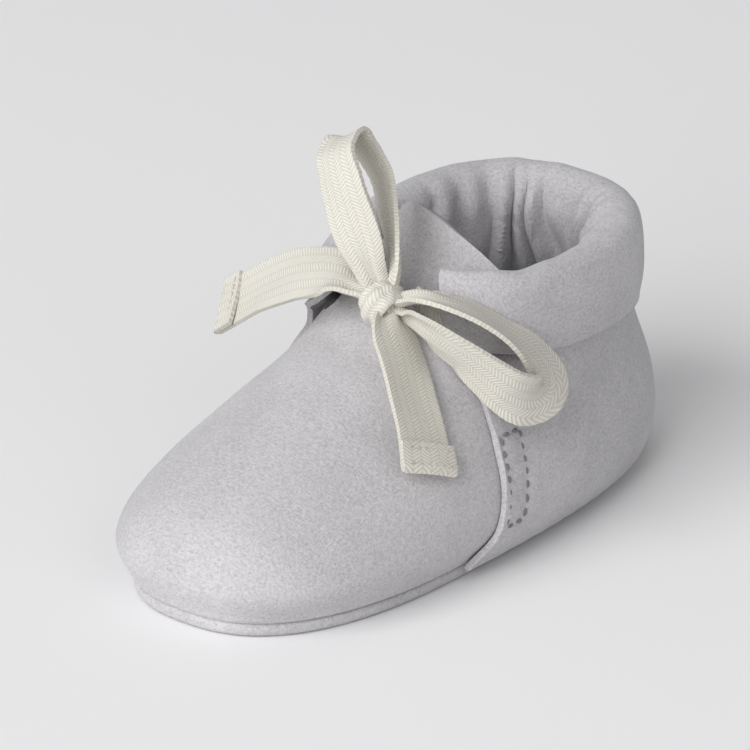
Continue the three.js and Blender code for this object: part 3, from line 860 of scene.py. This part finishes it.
def spline(rows, t):
    """Centripetal Catmull-Rom curve through rows of points, with t from 0 to 1 over their spans."""
    last = len(rows) - 1
    i = min(int(t * last), last - 1)
    f = t * last - i
    b, c = Vector(rows[i]), Vector(rows[i + 1])
    a = Vector(rows[i - 1]) if i > 0 else 2 * b - c
    d = Vector(rows[i + 2]) if i + 2 <= last else 2 * c - b
    knots = [max((q - p).length, 1e-4) ** 0.5 for p, q in ((a, b), (b, c), (c, d))]
    start = ((b - a) / knots[0] - (c - a) / (knots[0] + knots[1]) + (c - b) / knots[1]) * knots[1]
    end = ((c - b) / knots[1] - (d - b) / (knots[1] + knots[2]) + (d - c) / knots[2]) * knots[1]
    return (
        b * (2 * f**3 - 3 * f * f + 1) + start * (f**3 - 2 * f * f + f)
        + c * (3 * f * f - 2 * f**3) + end * (f**3 - f * f)
    )


class TapeRun:
    """The line and the width direction of one stretch of tape, measured along its length."""

    def __init__(self, rows):
        self.points = [row[0] for row in rows]
        self.sides = [row[1] for row in rows]
        self.marks = [0.0]
        steps = 160
        for i in range(steps):
            step = spline(self.points, (i + 1) / steps) - spline(self.points, i / steps)
            self.marks.append(self.marks[-1] + step.length)
        self.length = self.marks[-1]

    def share(self, distance):
        want = clamp(distance, 0, self.length * 0.9999)
        i = max(k for k, mark in enumerate(self.marks[:-1]) if mark <= want)
        f = (want - self.marks[i]) / (self.marks[i + 1] - self.marks[i])
        return (i + f) / (len(self.marks) - 1)

    def frame(self, distance):
        t = self.share(distance)
        ahead, behind = min(t + 0.01, 1), max(t - 0.01, 0)
        along = (spline(self.points, ahead) - spline(self.points, behind)).normalized()
        side = spline(self.sides, t)
        side = (side - along * side.dot(along)).normalized()
        return spline(self.points, t), along, side, along.cross(side)


def tape_piece(name, rows, width, gathers, hem=0.0, hem_side=1, seed=0.0):
    """A stretch of tape. It is pleated where gathers says that it enters the knot, and a hem turns
    its last few millimetres back on itself."""
    run = TapeRun(rows)
    total = run.length + hem

    def place(a, b):
        distance = a * total
        s = b - 0.5
        folded = distance > run.length
        at = 2 * run.length - distance if folded else distance
        point, along, side, out = run.frame(at)
        t = at / run.length
        drawn = min(1.0, sum(exp(-(((t - end) / GATHER_REACH) ** 2)) for end in gathers))
        local = width * (1 - GATHER * drawn)
        pleat = PLEAT_DEPTH * drawn * cos(2 * pi * PLEATS * (s + 0.1 * sin(seed)))
        cup = CUP_DEPTH * (1 - drawn) * (4 * s * s - 0.33) * sin(seed + 2.1 * t * pi)
        ripple = EDGE_RIPPLE * sin(2 * pi * distance / RIPPLE_PITCH + seed) * smooth(abs(s), 0.44, 0.5)
        wander = TAPE_WANDER * noise.noise(Vector((distance / 9, s * 1.4, seed + 3)))
        lift = pleat + cup + ripple * 0.7 + wander * (1 - drawn) * smooth(t, 0, 0.1)
        if folded or distance > run.length - HEM_TURN:
            near_turn = clamp((distance - run.length + HEM_TURN) / (2 * HEM_TURN))
            lift += hem_side * (TAPE_WALL + HEM_GAP) * (1 - cos(pi * near_turn)) / 2
        spread = 1 + ripple * 0.12 + (0.05 if folded else 0.0)
        return point + side * (s * local * spread) + out * lift

    steps = (max(40, round(total / TAPE_STEP)), TAPE_STEPS_ACROSS)
    return laid_cloth(name, place, steps, (total, width), TAPE_WALL, turned=TAPE_EDGE), run


def strap(side, sign):
    start = KNOT + Vector((sign * STRAP_APART, STRAP_BEHIND, STRAP_START[side]))
    rows = [(start, (0, 0.35, 0.94))]
    for arc in STRAP_ARC:
        angle = sign * (180 - arc)
        up = foot(angle, STRAP_V + 0.01) - foot(angle, STRAP_V - 0.01)
        rows.append((foot(angle, STRAP_V) + foot_normal(angle, STRAP_V) * STRAP_AWAY, up.normalized()))
    if sign < 0:
        rows.reverse()
    piece, run = tape_piece(f"strap_tape_{side}", rows, STRAP_WIDTH, [], seed=sign)
    piece.data.materials.append(twill_tape)
    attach(piece, "root")
    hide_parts(f"tie_strap_{side}")


strap("left", -1)
strap("right", 1)

# ---- Bow --------------------------------------------------------------------------------------
# Two loops and two tails of the same tape. The left loop stands up, the right one lies on the
# flank, and both tails are hemmed with two rows of stitches.
LOOP_LEFT = [
    ((1.9, -7.4, 42.4), (0.95, 0.30, 0.05)),
    ((0.1, -7.2, 45.1), (0.97, 0.23, 0.05)),
    ((-1.6, -8.0, 49.9), (0.99, 0.17, 0.03)),
    ((-4.2, -8.1, 55.6), (0.99, 0.01, 0.11)),
    ((-6.6, -7.5, 60.6), (0.97, -0.14, 0.18)),
    ((-8.8, -5.7, 64.0), (0.89, -0.33, 0.31)),
    ((-9.9, -1.7, 65.1), (0.77, -0.45, 0.44)),
    ((-8.8, 1.2, 62.5), (0.72, -0.45, 0.53)),
    ((-6.1, 2.3, 58.1), (0.74, -0.42, 0.52)),
    ((-3.5, 0.6, 53.8), (0.76, -0.47, 0.44)),
    ((-0.4, -1.8, 50.2), (0.75, -0.55, 0.37)),
    ((2.8, -5.1, 45.9), (0.75, -0.56, 0.35)),
    ((3.2, -6.6, 42.9), (0.75, -0.56, 0.35)),
]
LOOP_RIGHT = [
    ((5.0, -7.2, 40.3), (0.33, -0.75, 0.57)),
    ((8.4, -7.3, 39.4), (0.28, -0.60, 0.75)),
    ((13.7, -9.8, 39.6), (0.23, -0.50, 0.84)),
    ((20.9, -11.0, 38.2), (0.26, -0.44, 0.86)),
    ((25.8, -8.9, 34.7), (0.42, -0.26, 0.87)),
    ((28.8, -5.7, 31.4), (0.45, -0.08, 0.89)),
    ((29.7, -1.5, 29.5), (0.10, -0.10, 0.99)),
    ((29.7, 1.8, 30.7), (-0.15, -0.90, 0.40)),
    ((27.7, 1.3, 35.2), (0.40, -0.88, -0.10)),
    ((24.2, -1.7, 39.7), (0.61, -0.78, 0.06)),
    ((19.3, -4.7, 42.9), (0.71, -0.70, 0.09)),
    ((14.0, -6.8, 44.3), (0.66, -0.75, 0.10)),
    ((9.4, -6.6, 43.8), (0.66, -0.75, 0.10)),
    ((5.4, -7.0, 42.2), (0.66, -0.75, 0.10)),
]
TAIL_LEFT = [
    ((1.4, -7.8, 41.8), (0.55, -0.82, -0.15)),
    ((-1.9, -8.0, 42.7), (0.58, -0.79, -0.18)),
    ((-6.9, -8.0, 43.8), (0.66, -0.70, -0.26)),
    ((-14.4, -7.6, 41.7), (0.68, -0.67, -0.31)),
    ((-24.0, -5.9, 36.3), (0.65, -0.68, -0.34)),
    ((-34.2, -5.0, 28.9), (0.68, -0.68, -0.26)),
]
TAIL_RIGHT = [
    ((4.4, -8.4, 40.8), (0.35, 0.87, -0.33)),
    ((7.2, -10.8, 39.2), (0.25, 0.91, -0.33)),
    ((10.4, -12.4, 35.3), (0.15, 0.95, -0.28)),
    ((14.8, -15.3, 30.8), (0.15, 0.95, -0.28)),
    ((19.3, -18.2, 26.3), (0.17, 0.95, -0.26)),
    ((23.8, -21.6, 21.4), (0.26, 0.94, -0.22)),
]
LOOP_BEND_LEFT = (Vector((2.4, -7.0, 42.6)) * MM, Vector((1.2, -6.6, 46.6)) * MM)
LOOP_BEND_RIGHT = (Vector((5.2, -7.1, 41.3)) * MM, Vector((9.4, -6.9, 41.5)) * MM)
HEM = 5.0
HEM_ROWS = (1.1, 3.9)
HEM_STITCHES = 6
HEM_STITCH_START = -0.44
HEM_STITCH_PITCH, HEM_STITCH_LENGTH = 0.15, 0.11
HEM_STITCH_RADIUS = 0.2
HEM_STITCH_PROUD = 0.12
TAPE_THREAD_COLOUR = ((0.42, 0.40, 0.33, 1), (0.60, 0.58, 0.50, 1))
tape_thread = nap_material("tape_thread", *TAPE_THREAD_COLOUR, 0.1, 0.4)


def finish_tape(piece, node):
    piece.data.materials.append(twill_tape)
    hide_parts(node)
    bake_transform(piece)


def loop(name, body, node, rows, seed, bend):
    piece, run = tape_piece(name, rows, TAPE_WIDTH, [0, 1], seed=seed)
    finish_tape(piece, node)


def tail(name, body, node, rows, seed, out_sign):
    piece, run = tape_piece(name, rows, TAPE_WIDTH, [0], hem=HEM, hem_side=out_sign, seed=seed)
    finish_tape(piece, node)
    bm = bmesh.new()
    for row in HEM_ROWS:
        point, _, side, out = run.frame(run.length - row)
        level = out * out_sign * (TAPE_WALL * 1.5 + HEM_STITCH_PROUD)
        for k in range(HEM_STITCHES):
            start = HEM_STITCH_START + k * HEM_STITCH_PITCH
            first = point + side * (start * TAPE_WIDTH) + level
            last = point + side * ((start + HEM_STITCH_LENGTH) * TAPE_WIDTH) + level
            add_stitch(bm, first, last, out * out_sign, HEM_STITCH_RADIUS)
    for face in bm.faces:
        face.smooth = True
    stitches = link_mesh(f"{name}_hem_stitches", bm)
    stitches.data.materials.append(tape_thread)
    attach(stitches, body)


loop("bow_loop_left_tape", "left_loop", "bow_loop_left", LOOP_LEFT, 0.4, LOOP_BEND_LEFT)
loop("bow_loop_right_tape", "right_loop", "bow_loop_right", LOOP_RIGHT, 1.7, LOOP_BEND_RIGHT)
tail("bow_tail_left_tape", "left_tail", "bow_tail_left", TAIL_LEFT, 2.3, 1)
tail("bow_tail_right_tape", "right_tail", "bow_tail_right", TAIL_RIGHT, 4.1, 1)

# ---- Knot -------------------------------------------------------------------------------------
# The tape passes once round the middle of the bow and is pulled tight, which creases it
# lengthwise. The crushed tape inside the wrap fills it.
KNOT_TILT = -32
WRAP_WIDTH = 5.2
WRAP_DEEP, WRAP_TALL = 6.6, 7.0
WRAP_TURN = 24
WRAP_SHIFT = Vector((0.2, -0.7, 0.1))
CORE_HALF = (WRAP_WIDTH * 0.52, WRAP_DEEP * 0.42, WRAP_TALL * 0.42)


def knot_point(x, y, z):
    """From the knot's own axes, with y into the shoe, to the bootie's."""
    turned, tilted = radians(WRAP_TURN), radians(KNOT_TILT)
    x, z = x * cos(turned) + z * sin(turned), -x * sin(turned) + z * cos(turned)
    y, z = y * cos(tilted) - z * sin(tilted), y * sin(tilted) + z * cos(tilted)
    return KNOT + WRAP_SHIFT + Vector((x, y, z))


def wrap_place(a, b):
    arc = 2 * pi * a
    s = b - 0.5
    width = WRAP_WIDTH * (1 + 0.08 * sin(arc + 0.6))
    crease = 0.30 * cos(2 * pi * 2.0 * s + 0.5 * sin(arc)) - 1.3 * (2 * s) ** 4
    fold = 0.25 * noise.noise(Vector((2.5 * cos(arc), 2.5 * sin(arc), s * 4)))
    deep = WRAP_DEEP / 2 + crease + fold
    tall = WRAP_TALL / 2 + crease + fold
    return knot_point(s * width, -deep * cos(arc), -tall * sin(arc))


knot_wrap = laid_cloth(
    "knot_wrap", wrap_place, (96, 22), (22, WRAP_WIDTH), TAPE_WALL, turned=TAPE_EDGE, weld=True
)
knot_wrap.data.materials.append(twill_tape)
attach(knot_wrap, "root")
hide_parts("bow_knot")

core_bm = bmesh.new()
core_uv = core_bm.loops.layers.uv.new("UVMap")
bmesh.ops.create_uvsphere(core_bm, u_segments=48, v_segments=32, radius=1.0)
for vert in core_bm.verts:
    crush = 1 + 0.10 * noise.noise(vert.co * 2.2) + 0.05 * sin(9 * atan2(vert.co.z, vert.co.y))
    x, y, z = (reach * half * crush for reach, half in zip(vert.co, CORE_HALF))
    vert.co = knot_point(x, y, z) * MM
for face in core_bm.faces:
    face.smooth = True
    for corner in face.loops:
        corner[core_uv].uv = (corner.vert.co.x, corner.vert.co.z)
knot_core = link_mesh("knot_core", core_bm)
knot_core.data.materials.append(twill_tape)
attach(knot_core, "root")
